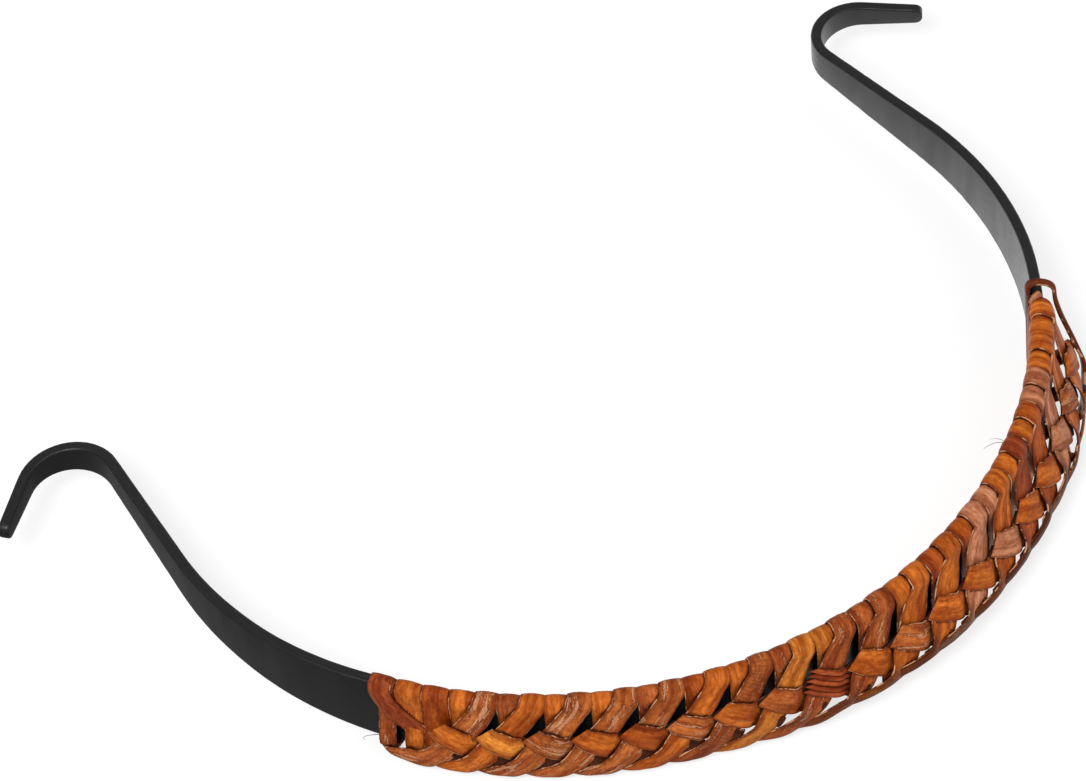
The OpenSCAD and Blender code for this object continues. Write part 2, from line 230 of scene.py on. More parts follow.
def add_mesh(name, points, faces, uv=None, floats=None, colour=None):
    """A smooth-shaded mesh object with per-point texture coordinates and attributes."""
    mesh = bpy.data.meshes.new(name)
    mesh.from_pydata([tuple(p) for p in points], [], faces)
    if uv is not None:
        layer = mesh.uv_layers.new(name="strip")
        corner = np.zeros(len(mesh.loops), np.int32)
        mesh.loops.foreach_get("vertex_index", corner)
        layer.data.foreach_set("uv", np.asarray(uv, np.float32)[corner].ravel())
    for key, values in (floats or {}).items():
        attribute = mesh.attributes.new(key, "FLOAT", "POINT")
        attribute.data.foreach_set("value", np.asarray(values, np.float32))
    if colour is not None:
        opaque = np.ones((len(colour), 1), np.float32)
        rgba = np.concatenate([np.asarray(colour, np.float32), opaque], 1)
        mesh.attributes.new("tint", "FLOAT_COLOR", "POINT").data.foreach_set("color", rgba.ravel())
    mesh.shade_smooth()
    mesh.update()
    obj = bpy.data.objects.new(name, mesh)
    bpy.context.scene.collection.objects.link(obj)
    return obj


# ---------------------------------------------------------------- the hoop
def left_bend(p, r, a):
    """The place (x, y, heading) after a bend of radius r through a degrees to the left."""
    h = math.radians(p[2])
    g = math.radians(p[2] + a)
    return (p[0] + r * (math.sin(g) - math.sin(h)), p[1] - r * (math.cos(g) - math.cos(h)), p[2] + a)


def straight(p, length):
    h = math.radians(p[2])
    return (p[0] + length * math.cos(h), p[1] + length * math.sin(h), p[2])


FRONT_MIDDLE = (0.0, -MID_R, 0.0)
FRONT_PLACE = left_bend(FRONT_MIDDLE, MID_R, FRONT_HALF)
SIDE_PLACE = left_bend(FRONT_PLACE, SIDE_MID_R, SIDE_ANGLE)
ARM_PLACE = straight(SIDE_PLACE, ARM_LEN)
BEND_PLACE = left_bend(ARM_PLACE, -BEND_R, -HOOK_TURN)


def hoop_place(s):
    """The place on the band's middle line, s millimetres from its front."""
    if s <= FRONT_LEN:
        return left_bend(FRONT_MIDDLE, MID_R, math.degrees(s / MID_R))
    if s <= SIDE_END:
        return left_bend(FRONT_PLACE, SIDE_MID_R, math.degrees((s - FRONT_LEN) / SIDE_MID_R))
    if s <= ARM_END:
        return straight(SIDE_PLACE, s - SIDE_END)
    if s <= BEND_END:
        return left_bend(ARM_PLACE, -BEND_R, -math.degrees((s - ARM_END) / BEND_R))
    return straight(BEND_PLACE, s - BEND_END)


def taper_w(s):
    return min(HOOP_W, TIP_W + (HOOP_W - TIP_W) * (HALF_LEN - s) / TAPER_LEN)


def band_w(s):
    """The tapered width, rounded off at the tips."""
    over = max(0.0, s - HALF_LEN + TIP_ROUND) / TIP_ROUND
    return taper_w(s) - 2 * TIP_ROUND * (1 - math.sqrt(max(0.0, 1 - over * over)))


def hoop_section(w):
    """Rounded rectangle round the band, as (across its thickness, across its width)."""
    x, z = HOOP_T / 2 - EDGE_R, max(0.02, w / 2 - EDGE_R)
    r = min(EDGE_R, w / 2 - 0.01)
    ring = []
    for cx, cz, start in ((1, 1, 0), (-1, 1, 90), (-1, -1, 180), (1, -1, 270)):
        for i in range(CORNER_POINTS):
            b = math.radians(start + 90 * i / (CORNER_POINTS - 1))
            ring.append((cx * x + EDGE_R * math.cos(b), cz * z + r * math.sin(b)))
    return ring


def build_hoop():
    along = np.arange(0, HALF_LEN - TIP_ROUND, HOOP_STATION)
    tip = [HALF_LEN - TIP_ROUND + TIP_ROUND * math.sin(math.radians(a)) for a in TIP_ANGLES]
    half = list(along) + tip
    stations = [-s for s in half[:0:-1]] + half
    wobble = value_noise(3, 64, 8)
    rough = value_noise(4, 512, 32)
    points, uv, faces = [], [], []
    for s in stations:
        x, y, heading = hoop_place(abs(s))
        mirror = -1 if s < 0 else 1
        h = math.radians(heading)
        ring = hoop_section(band_w(abs(s)))
        run = 0.0
        for j, (q, z) in enumerate(ring):
            # moulding flash: the corners are slightly uneven
            on_corner = 0 < j % CORNER_POINTS < CORNER_POINTS - 1
            uneven = FLASH * float(rough(s * FLASH_RATE, j)) if on_corner else 0.0
            q += uneven + WOBBLE * float(wobble(s / WOBBLE_LEN, 1))
            points.append((mirror * (x + q * math.sin(h)), y - q * math.cos(h), z + uneven))
            if j:
                run += math.dist(ring[j], ring[j - 1])
            uv.append((s * UV_SCALE, run * UV_SCALE))
    n = 4 * CORNER_POINTS
    for i in range(len(stations) - 1):
        for j in range(n):
            a, b = i * n + j, i * n + (j + 1) % n
            faces.append((a, a + n, b + n, b))
    faces.append(tuple(range(n)))
    faces.append(tuple((len(stations) - 1) * n + j for j in reversed(range(n))))
    return add_mesh("hoop_moulding", seat(points), faces, uv)


# ---------------------------------------------------------------- places on the strand
# angle   degrees along the hoop's front, from its middle
# turn    the way round the band: 0 on its top edge, 1 to 2 down the outer face, 3 on the lower edge,
#         and the same with a minus sign for the inner face
# height  of the strip's underside over the band
# slope   the share of the flare with which it stands off the band
# lean    how much higher one side of the strip is
# slide   how far one side lags behind along the course
Key = namedtuple("Key", "angle turn height width slope lean slide", defaults=(0.0, 0.0, 0.0))


def flat_half(a):
    """Half the height of the band's flat face at an angle."""
    return taper_w(abs(a) * MID_R * math.pi / 180) / 2 - EDGE_INSET


def round_angle(turn):
    u = abs(turn)
    return math.copysign(90 * u if u <= 1 else 90 if u <= 2 else 90 + 90 * (u - 2), turn)


def core_z(a, turn):
    u, f = abs(turn), flat_half(a)
    return f if u <= 1 else f - 2 * f * (u - 1) if u <= 2 else -f


def turn_at(a, z):
    """The turn at a height on the outer face."""
    return 1 + (flat_half(a) - z) / (2 * flat_half(a))


def looseness(a):
    """The braid is tight at its start and loose towards its end."""
    return ease(LOOSE_FROM, LOOSE_TO, a) * (1 - END_TIGHTENS * ease(END_FROM, END_TO, a))


def braid_looseness(c):
    """The looseness of the stroke that starts at c, taken where its face lies."""
    return looseness(c - PITCH)


def slope_angle(a):
    return lerp(TIGHT_FLARE, LOOSE_FLARE, looseness(a))


def strand_z(k):
    return core_z(k.angle, k.turn) + (EDGE_CORE + k.height) * math.cos(math.radians(round_angle(k.turn)))


def sheet_depth(z):
    """The drop that the flare acts on: it grows from the top edge to a knee, and shrinks a little below."""
    knee = SHEET_KNEE * HALF_W
    full = (1 + SHEET_KNEE) * HALF_W
    u = max(0.0, HALF_W - max(z, -knee)) / full
    return full * u ** SHEET_POWER + SHEET_RETURN * min(0.0, knee + z)


def strand_pos(k):
    z, a = strand_z(k), math.radians(k.angle)
    out = MID_R + (EDGE_CORE + k.height) * math.sin(math.radians(round_angle(k.turn)))
    out += k.slope * math.tan(math.radians(slope_angle(k.angle))) * sheet_depth(z)
    out += SLACK * ease(LOOSE_FROM, LOOSE_TO, k.angle) * ease(0, 1, k.turn) * (1 - ease(2, UNDER, k.turn))
    return np.array([out * math.sin(a), -out * math.cos(a), z])


def strand_normal(k):
    upright = ease(0.25, 0.6, -strand_z(k) / HALF_W)
    flare = k.slope * slope_angle(k.angle) * (1 - UPRIGHT_BACK * upright)
    b = math.radians(round_angle(k.turn) - flare)
    a = math.radians(k.angle)
    return np.array([math.sin(b) * math.sin(a), -math.sin(b) * math.cos(a), math.cos(b)])


def roll(k):
    """Curvature of the surface that a strip follows round the band's long edges."""
    u = abs(k.turn)
    return max(1 - ease(0.9, 1.08, u), ease(1.92, 2.1, u)) / (EDGE_CORE + k.height + 0.2)


# ---------------------------------------------------------------- courses of the strand
def fill(keys, parts=8):
    """Straight steps between listed keys."""
    out = []
    for a, b in zip(keys, keys[1:]):
        out += [Key(*(lerp(p, q, i / parts) for p, q in zip(a, b))) for i in range(parts)]
    return out + [keys[-1]]


def trace(course, c, count):
    """The keys of a course(c, t), with t from 0 to 1 in equal steps."""
    return [course(c, i / count) for i in range(count + 1)]


def stroke_angle(k):
    return FIRST_STROKE + TIGHT_PITCH * min(k, TIGHT_STROKES) + PITCH * max(0, k - TIGHT_STROKES)


def plain_angle(k):
    return stroke_angle(k + PLAIN_OFFSET)


def tail_angle(k):
    return stroke_angle(k + TAIL_OFFSET)


def inner_run(a, b, low_h, top_h, width=TURN_W):
    """Up the inner face, from angle a under the lower edge to angle b at the top."""
    return [Key(a, -SEAM, low_h, EDGE_W), Key(a, -UNDER, low_h, EDGE_W), Key(a, -2.0, low_h, width),
            Key(b, -1, lerp(low_h, top_h, 0.1), width),
            Key(b, -0.75, lerp(low_h, top_h, 0.5), width, 0, TURN_LEAN),
            Key(b, -0.4, top_h, width, 0, TURN_LEAN)]


def plain_keys(a, b, width):
    """A wrap straight round the band."""
    return fill(inner_run(a, b, FIRST_H, FIRST_H, width)
                + [Key(b, u, FIRST_H, width, 0, TURN_LEAN) for u in OVER_TOP]
                + [Key(b, 2, FIRST_H, width, 0, 0.4 * TURN_LEAN), Key(b, UNDER, FIRST_H, EDGE_W),
                   Key(b, SEAM, FIRST_H, EDGE_W)])


def lower_end(k, shift, width):
    """A start turn's key, with its lower end moved along, of its own width and off the band."""
    t = ease(1.05, 1.7, k.turn)
    slope = START_SLOPE * ease(1.2, 1.9, k.turn) * (1 - ease(2.1, UNDER, k.turn))
    return k._replace(angle=k.angle + shift * t, width=lerp(k.width, width, t), slope=slope)


def stroke_lean(t):
    """One way at the top, the other way on the tail, and nearly upright at its end."""
    tail = TAIL_LEAN * ease(0.5, 0.72, t) * (1 - END_UPRIGHT * ease(0.9, 1, t))
    return TOP_LEAN * (1 - ease(0.1, 0.35, t)) + tail


def stroke_h(t, g=0.0):
    """Over the leads and hitches of its neighbours, and back to the leads' layer."""
    return steps(t, TOP_H, (0.08 * g, lerp(0.22, 0.5, g), OVER_H), (0.78, 1, LEAD_H))


def stroke_course(c, t, g):
    """Angle and turn: down the face to the rim, then round it where tight or along it where loose."""
    u, v = min(1, t / RIM_T), max(0, (t - RIM_T) / (1 - RIM_T))
    tight = (bezier(*TIGHT_RUN, u) - TIGHT_RIM_RUN * v,
             turn_at(c, bezier(flat_half(c), *TIGHT_FALL, u)) + (TIGHT_TURN - RIM_TURN) * v)
    loose = (bezier(*LOOSE_RUN, u) - LOOSE_RIM_RUN * v,
             turn_at(c, bezier(flat_half(c), *LOOSE_FALL, u)))
    return c + lerp(tight[0], loose[0], g), lerp(tight[1], loose[1], g)


def stroke_key(c, t):
    g = braid_looseness(c)
    w = steps(t, TOP_W, (0, 0.3, lerp(STRAND_W, LOOSE_W, g)),
              (0.45, 0.7, lerp(TIGHT_TAIL_W, LOOSE_TAIL_W, g)), (0.85, 1, TAIL_END_W))
    return Key(*stroke_course(c, t, g), stroke_h(t, g), w, ease(0, 0.15, t), stroke_lean(t))


def first_stroke_key(c, t):
    w = steps(t, TOP_W, (0.4, 0.7, FIRST_TAIL_W), (0.8, 1, FIRST_END_W))
    return Key(c + bezier(*FIRST_RUN, t), turn_at(c, bezier(flat_half(c), *FIRST_FALL, t)), stroke_h(t),
               w, ease(0, 0.15, t), stroke_lean(t))


def stroke_keys(c, start, first):
    """Up inside from the plain wrap before, over the top edge, and down across the face."""
    top = [Key(c + slant, 0.4 * i, TOP_H, lerp(TURN_W, TOP_W, min(1, TOP_WIDENS * i)), 0, TOP_LEAN)
           for i, slant in enumerate(TOP_SLANT)]
    run = trace(first_stroke_key if first else stroke_key, c, STROKE_STEPS)
    keys = fill(inner_run(start, c + TOP_OFFSET, FIRST_H, TOP_H) + top + run[:1])[:-1] + run
    if first:
        end = run[-1]
        tuck = []
        for i in range(1, TUCK_KEYS + 1):
            t = i / TUCK_KEYS
            tuck.append(Key(end.angle - TUCK_RUN * i, end.turn + TUCK_TURN * i, lerp(LEAD_H, FIRST_H, t),
                            TUCK_W, 1 - t, end.lean * (1 - t)))
        keys += fill([end] + tuck, 6)[1:]
    return keys


def lead_key(c, t):
    """Behind the tails: the strand on its way from the rim to the next hitch."""
    g = braid_looseness(c)
    (tight_at, tight_run), (loose_at, loose_run) = TIGHT_LEAD_RUN, LOOSE_LEAD_RUN
    a = c + lerp(tight_at - tight_run * t, loose_at - loose_run * t, g)
    z = lerp(bezier(*TIGHT_LEAD_FALL, t), bezier(*LOOSE_LEAD_FALL, t), g)
    w = lerp(TIGHT_LEAD_W, steps(t, LEAD_START_W, (0.45, 0.8, LEAD_W)), g)
    return Key(a, turn_at(c, z), LEAD_H, w, 1)


def hitch_key(c, t):
    """Folded over the stroke before, and down the face."""
    g = braid_looseness(c)
    a = c + bezier(*HITCH_RUN, t) + lerp(TIGHT_HITCH_SHIFT, LOOSE_HITCH_SHIFT, g)
    z = HALF_W * bezier(*HITCH_FALL, t) + HITCH_RAISE
    h = steps(t, OVER_H, (0, 0.2, HITCH_TOP_H), (0.55, 0.8, LEAD_H))
    w = steps(t, FOLD_W, (0, 0.25, HITCH_W), (0.7, 1, TURN_W))
    return Key(a, turn_at(a, z), h, w, 1, HITCH_LEAN * ease(0.5, 0.65, t),
               FOLD_SLIDE * (1 - ease(0, 0.4, t)))


def return_key(c, t):
    a = c + RETURN_SHIFTS[0]
    return Key(a, turn_at(a, lerp(*RETURN_FALL, t) * HALF_W), FIRST_H, EDGE_W, 1 - ease(0, 1, t))


def return_keys(c):
    """From a hitch's foot to the lower edge, and round it."""
    return (trace(return_key, c, RETURN_STEPS)
            + [Key(c + RETURN_SHIFTS[1], 2.25, FIRST_H, EDGE_W),
               Key(c + RETURN_SHIFTS[2], UNDER, FIRST_H, EDGE_W)])


def strap_key(c, t):
    a = c + bezier(*STRAP_RUN, t)
    return Key(a, turn_at(a, bezier(*STRAP_FALL, t)), steps(t, TOP_H, (0, 0.3, LEAD_H)), TURN_W)


def strap_keys():
    """The first slanting strip, between the start turns and the first hitch."""
    c = stroke_angle(-1)
    top = c + STRAP_RUN[0]
    over = [Key(top, u, lerp(FIRST_H, TOP_H, u), lerp(EDGE_W, TURN_W, u)) for u in OVER_TOP]
    run = trace(strap_key, c, STRAP_STEPS)[1:]
    foot = [Key(c - 0.4, 2.0, LEAD_H, TURN_W), Key(c - 0.3, UNDER, LEAD_H, EDGE_W)]
    return (fill(inner_run(top - STRAP_SLANT, top, FIRST_H, FIRST_H) + over) + run
            + fill(run[-1:] + foot)[1:])


def loop_keys():
    """The narrow end of the strand: one more stroke with nothing over it."""
    last = stroke_angle(STROKES - 1)
    c, top = stroke_angle(STROKES), last + LOOP_TOP
    run = []
    for i in range(STROKE_STEPS + 1):
        t = i / STROKE_STEPS
        k = stroke_key(c, t)
        run.append(Key(k.angle - (c - top) * (1 - ease(0, 0.6, t)), k.turn,
                       k.height + LOOP_OUT * math.sin(math.pi * t) + LOOP_LIFT * (1 - t),
                       steps(t, LOOP_W, (0.3, 0.7, LOOSE_TAIL_W)), k.slope))
    rise = inner_run(tail_angle(STROKES - 1), top, FIRST_H, LOOP_H)
    rise = rise[:3] + [Key(*k[:3], w) for k, w in zip(rise[3:], LOOP_RISE_W)]
    over = [Key(top, u, LOOP_H, LOOP_W) for u in OVER_TOP[:3]]
    return fill(return_keys(last) + rise + over + run[:1]) + run[1:]


# ---------------------------------------------------------------- strips with a crowned, ragged section
TOP_V = np.array([-1, -0.965, -0.9, -0.78, -0.64, -0.48, -0.32, -0.16, 0,
                  0.16, 0.32, 0.48, 0.64, 0.78, 0.9, 0.965, 1])
STATION, SHORTEST = 0.4, 8
COURSE_BLUR, BEND_BLUR = 1.3, 2.5
SIDE_GRID, RIDGE_GRID = (64, 8), (64, 64)
WIDTH_VARIES, WIDTH_LEN, WIDTH_LANE = 0.035, 4.0, 0.5
COURSE_VARIES, COURSE_LEN, COURSE_LANE = 0.06, 6.0, 3.5
FRAY, FRAY_LEN, FRAY_FROM, LOW_LANE, HIGH_LANE = 0.05, 1.1, 0.93, 5.5, 6.5
RIDGE, RIDGE_LEN, RIDGES = 0.022, 7, 7
CROWN_POWER = 2.6
WALL_OUT, FOOT_IN, WALL_SHARE, FOOT_Y, MIDDLE_Y = 0.015, 0.09, 0.3, 0.02, 0.04
FACE_TILT, WALL_TILT = 0.7, 1.5
PHASE_SPAN, PHASE_UV, SEED_UV, SEED_SPAN = 60, 3, 1.37, 50
WISP_STATIONS, WISP_SIDES, WISP_BLUR, WISP_TIP = 24, 5, 2.0, 0.4
WISP_ASIDE = np.array([0.3, 0.4, 0.87])
# rays that find where other strips close in, for the painted shade between strips
SHADE_RAY_REACH, SHADE_RAY_LIFT = 1.3, 0.05
SHADE_RAYS = ((0.0, 0.0), (1.2, 0.0), (-1.2, 0.0), (0.0, 1.2), (0.0, -1.2))


class Strips:
    """Collects strips into one mesh, with the attributes that the rattan finish reads."""

    def __init__(self):
        self.points, self.faces, self.uv = [], [], []
        self.torn, self.edge, self.rings, self.tint = [], [], [], []
        self.facing, self.level = [], []

    def add(self, keys, seed, tint, torn, rings=0.0, thick=0.5, crown=0.4, offset=0.0, width=None,
            shade=None):
        """Sweeps one strip along its keys.

        crown is the rounded share of the thickness, offset moves the strip beside its course, width
        replaces the keys' widths, and shade (start, end, factor) paints shade along the strip's length by
        darkening it.
        """
        rng = np.random.default_rng(seed)
        data = np.array([(*strand_pos(k), *strand_normal(k), k.width, k.lean / k.width, k.slide, roll(k))
                         for k in keys])
        gaps = np.linalg.norm(np.diff(data[:, :3], axis=0), axis=1)
        length = np.concatenate([[0], np.cumsum(gaps)])
        apart = np.concatenate([[True], np.diff(length) > 1e-6])
        data, length = data[apart], length[apart]
        n = max(SHORTEST, int(length[-1] / STATION))
        at = np.linspace(0, length[-1], n)
        data = blur(resample(at, length, data), COURSE_BLUR)
        pos, normal = data[:, :3], data[:, 3:6]
        key_width, lean, slide, curl = (data[:, i:i + 1] for i in range(6, 10))
        tangent = rows_to_unit(np.gradient(pos, axis=0))
        level = rows_to_unit(np.cross(tangent, normal))
        across = rows_to_unit(level + np.cross(level, tangent) * lean)
        up = np.cross(across, tangent)

        side = value_noise(seed + 1, *SIDE_GRID)
        ridge = value_noise(seed + 2, *RIDGE_GRID)
        half = (key_width if width is None else np.full((n, 1), width)) / 2
        half = half * (1 + WIDTH_VARIES * side(at / WIDTH_LEN, WIDTH_LANE))[:, None]
        wander = (offset + COURSE_VARIES * side(at / COURSE_LEN, COURSE_LANE))[:, None]
        phase = rng.uniform(0, PHASE_SPAN)
        v = TOP_V[None, :]
        x = v * half
        x = x + np.where(v < -FRAY_FROM, FRAY * side(at / FRAY_LEN, LOW_LANE)[:, None], 0)
        x = x + np.where(v > FRAY_FROM, FRAY * side(at / FRAY_LEN, HIGH_LANE)[:, None], 0)
        y = thick * ((1 - crown) + crown * (1 - np.abs(v) ** CROWN_POWER)) * np.ones((n, 1))
        y = y + RIDGE * ridge(v * RIDGES + phase, at[:, None] / RIDGE_LEN) * (1 - 0.5 * v * v)
        # the strip's cross section bends with the edge that it crosses
        axis = rows_to_unit(np.stack([-pos[:, 1], pos[:, 0], 0 * pos[:, 0]], 1))
        bend = blur(curl * (1 - np.sum(across * axis, 1, keepdims=True) ** 2), BEND_BLUR)
        y = y - 0.5 * bend * x * x
        sag = -0.5 * bend * half ** 2
        # walls and underside, from the high side back to the low one
        lo, hi, one = x[:, :1], x[:, -1:], np.ones((n, 1))
        wall, foot = thick * WALL_SHARE + sag, FOOT_Y + sag
        x = np.concatenate([x, hi + WALL_OUT, hi - FOOT_IN, 0 * one, lo + FOOT_IN, lo - WALL_OUT], 1)
        y = np.concatenate([y, wall, foot, MIDDLE_Y * one, foot, wall], 1)
        m = x.shape[1]
        lag = slide * (1 - x / half) / 2
        points = (pos[:, None] + across[:, None] * (x + wander)[..., None] + up[:, None] * y[..., None]
                  + tangent[:, None] * lag[..., None])
        tilt = np.concatenate([FACE_TILT * TOP_V ** 3, [WALL_TILT, WALL_TILT, 0, -WALL_TILT, -WALL_TILT]])
        face = up[:, None] + across[:, None] * tilt[None, :, None]
        facing = face / np.linalg.norm(face, axis=2)[..., None]
        edge = np.concatenate([np.abs(TOP_V), np.ones(m - len(TOP_V))])
        uv = np.stack([np.repeat(at[:, None] + phase * PHASE_UV, m, 1), x + seed * SEED_UV % SEED_SPAN], -1)
        fade = np.ones(n)
        if shade is not None:
            start, end, factor = shade
            fade = 1 - (1 - factor) * ease_rows(start, end, at / length[-1])
        self.skin(points, facing, tangent, uv, np.tile(edge, n), np.repeat(np.outer(fade, tint), m, 0),
                  torn, rings)

    def wisp(self, places, radius):
        """A loose fibre through (angle, distance from the middle, height) places."""
        angle, out, z = np.array(places, float).T
        a = np.radians(angle)
        line = np.stack([out * np.sin(a), -out * np.cos(a), z], 1)
        n, m = WISP_STATIONS, WISP_SIDES
        at = np.linspace(0, len(line) - 1, n)
        line = blur(resample(at, range(len(line)), line), WISP_BLUR)
        tangent = rows_to_unit(np.gradient(line, axis=0))
        side = rows_to_unit(np.cross(tangent, WISP_ASIDE))
        up = np.cross(side, tangent)
        turn = 2 * np.pi * np.arange(m) / m
        ring = side[:, None] * np.cos(turn)[None, :, None] + up[:, None] * np.sin(turn)[None, :, None]
        points = line[:, None] + radius * np.linspace(1, WISP_TIP, n)[:, None, None] * ring
        uv = np.stack([np.repeat(at, m), np.tile(turn, n)], -1)
        self.skin(points, ring, tangent, uv, np.full(n * m, 0.5), np.tile(WISP, (n * m, 1)), 0.0, 0.0)

    def skin(self, points, facing, tangent, uv, edge, tint, torn, rings):
        """Takes n rings of m points with their attributes, and closes both ends."""
        n, m = points.shape[:2]
        base = len(self.points)
        self.points.extend(points.reshape(-1, 3))
        self.facing.extend(facing.reshape(-1, 3))
        self.level.extend(np.repeat(tangent, m, 0))
        self.uv.extend(uv.reshape(-1, 2) * UV_SCALE)
        self.edge.extend(edge)
        self.tint.extend(tint)
        self.torn += [torn] * (n * m)
        self.rings += [rings] * (n * m)
        for i in range(n - 1):
            for j in range(m):
                a, b = base + i * m + j, base + i * m + (j + 1) % m
                self.faces.append((a, b, b + m, a + m))
        self.faces.append(tuple(base + j for j in reversed(range(m))))
        self.faces.append(tuple(base + (n - 1) * m + j for j in range(m)))

    def paint_crevice_shade(self, tree):
        """How far other strips close in on each point, from 0 in the open to 1: the rattan finish paints
        shade with it.
        """
        found = []
        for p, up, along in zip(self.points, self.facing, self.level):
            side = np.cross(up, along)
            start = Vector(p + SHADE_RAY_LIFT * up)
            total = 0.0
            for a, b in SHADE_RAYS:
                direction = Vector(up + a * side + b * along).normalized()
                distance = tree.ray_cast(start, direction, SHADE_RAY_REACH)[3]
                if distance is not None:
                    total += 1 - distance / SHADE_RAY_REACH
            found.append(total / len(SHADE_RAYS))
        return found

    def build(self, name, tree):
        floats = {"torn": self.torn, "edge": self.edge, "rings": self.rings, "crevice_shade": self.paint_crevice_shade(tree)}
        return add_mesh(name, seat(self.points), self.faces, self.uv, floats, self.tint)


# ---------------------------------------------------------------- the strips of each node
TONES = {  # (colour, torn)
    "o": ((0.42, 0.095, 0.010), 0.10),   # orange, smooth
    "d": ((0.30, 0.055, 0.006), 0.05),   # deep orange-brown
    "y": ((0.50, 0.150, 0.018), 0.12),   # yellow-orange
    "r": ((0.27, 0.050, 0.012), 0.05),   # red-brown
    "p": ((0.42, 0.150, 0.065), 0.25),   # peach, matt
    "t": ((0.36, 0.085, 0.015), 0.60),   # torn, pale patches
    "s": ((0.30, 0.065, 0.012), 0.40),   # brown with some patches
    "k": ((0.055, 0.012, 0.004), 0.00),  # painted shade: dark, for strands deep in the braid
}
WISP = (0.20, 0.11, 0.06)
STROKE_TONES = "totttosyss" "oopordpooo"
PLAIN_TONES = "soosdosyso" "ddpoopoodo"
HITCH_TONES = "oytodtosro" "toopooptoo"

START_TURNS = (  # (degrees before the first plain wrap, width, shift and width of the lower end, tone)
    (0 * START_SPACING, START_W, 0.0, START_W, "o"),
    (1 * START_SPACING, START_W, 0.0, START_W, "d"),
    (2 * START_SPACING, START_W, 0.5, 3.1, "o"),
    (9.15, 2.7, 0.0, 2.7, "s"),
)
PLAIN_SHIFT = 0.12
RINGED_STROKE, SPLICE_HITCH = 6, 8
TAIL_SHADE_FROM, TAIL_SHADE_TO, LOOSE_TAIL_SHADE = 0.70, 0.80, 0.26
FIRST_LEAD, LEAD_FROM, FIRST_LEAD_TO = 2, 2, 18
SPLICE_STRANDS, SPLICE_PITCH, SPLICE_W = 5, 0.86, 0.95
CHIP_OFFSET, CHIP_W, CHIP_TORN = 1.4, 1.3, 0.9
WISPS = (  # (node, radius, places)
    ("start_turns", 0.06, ((-57.0, 73.8, -5.4), (-57.9, 74.6, -5.0), (-58.8, 74.8, -5.6),
                           (-59.2, 74.6, -6.6), (-59.1, 74.3, -7.4))),
    ("start_turns", 0.06, ((-55.2, 74.6, -4.6), (-55.5, 75.2, -4.4), (-55.0, 75.4, -4.9),
                           (-54.3, 75.0, -5.2))),
    ("plain_turns", 0.06, ((30.6, 71.4, 7.0), (30.2, 70.6, 7.2), (29.4, 69.8, 7.3), (28.4, 69.4, 7.5))),
    ("plain_turns", 0.05, ((30.9, 71.4, 7.0), (30.8, 70.4, 7.2), (30.3, 69.4, 7.3))),
    ("plain_turns", 0.05, ((43.0, 75.6, 2.0), (43.4, 77.0, 2.4), (43.2, 78.2, 2.2))),
)


def tone(code, seed):
    """A tone's colour, varied a little by the seed, and how torn it is."""
    colour, torn = TONES[code]
    k = np.random.default_rng(seed).uniform(0.92, 1.08)
    return tuple(c * k for c in colour), torn


def build_rattan():
    made = {name: Strips() for name in ("start_turns", "start_strap", "plain_turns", "over_strokes",
                                        "leads", "hitches", "splice_hitch", "end_loop")}

    def strip(node, keys, seed, code, **more):
        tint, torn = tone(code, seed)
        made[node].add(keys, seed, tint, more.pop("torn", torn), **more)

    for i, (back, width, shift, low_width, code) in enumerate(START_TURNS):
        at = plain_angle(-1) - back
        keys = [lower_end(k, shift, low_width) for k in plain_keys(at - START_SPACING, at, width)]
        strip("start_turns", keys, 100 + i, code)
    strip("start_strap", strap_keys(), 120, "r")
    for k in range(STROKES - 1):
        width = PLAIN_W if k < STROKES - 2 else LAST_PLAIN_W
        wrap = plain_keys(tail_angle(k), plain_angle(k) + PLAIN_SHIFT, width)
        strip("plain_turns", fill(return_keys(stroke_angle(k))) + wrap, 200 + k, PLAIN_TONES[k])
    for k in range(STROKES):
        c = stroke_angle(k)
        # painted shade on each stroke's tail at the rim, the darker the looser the braid, where the tails
        # turn edge-on
        dark = lerp(1, LOOSE_TAIL_SHADE, braid_looseness(c))
        strip("over_strokes", stroke_keys(c, plain_angle(k - 1), k == 0), 300 + k, STROKE_TONES[k],
              rings=1.0 if k == RINGED_STROKE else 0.0, shade=(TAIL_SHADE_FROM, TAIL_SHADE_TO, dark))
    # the leads are strands of the braid, painted dark as shade and wide enough to fill the gaps behind the
    # tails
    for k in range(FIRST_LEAD, STROKES):
        end = FIRST_LEAD_TO if k == FIRST_LEAD else LEAD_STEPS + 1
        strip("leads", trace(lead_key, stroke_angle(k), LEAD_STEPS)[LEAD_FROM:end], 400 + k, "k")
    for k in range(STROKES):
        if k != SPLICE_HITCH:
            strip("hitches", trace(hitch_key, stroke_angle(k), HITCH_STEPS), 500 + k, HITCH_TONES[k])
    for i in range(SPLICE_STRANDS):
        beside = SPLICE_PITCH * (i - SPLICE_STRANDS // 2)
        strip("splice_hitch", trace(hitch_key, stroke_angle(SPLICE_HITCH), HITCH_STEPS), 600 + i, "r",
              torn=0.0, thick=0.62, crown=0.8, offset=beside, width=SPLICE_W)
    # painted shade: the end loop darkens on its way down the face
    strip("end_loop", loop_keys(), 700, "r", shade=(0.45, 0.62, 0.4), thick=0.7)
    # a chip of skin that stands up from the last plain wrap
    chip = stroke_angle(STROKES - 1) + CHIP_OFFSET
    chip_keys = [Key(chip + 0.3 * i, 0.3 * i - 0.75, 0.15 + 0.1 * i, CHIP_W) for i in range(4)]
    strip("plain_turns", fill(chip_keys), 720, "p", torn=CHIP_TORN)
    for node, radius, places in WISPS:
        made[node].wisp(places, radius)

    points, faces = [], []
    for group in made.values():
        faces += [tuple(len(points) + j for j in face) for face in group.faces]
        points += group.points
    tree = BVHTree.FromPolygons([Vector(p) for p in points], faces)
    return {name: group.build("rattan_" + name, tree) for name, group in made.items()}


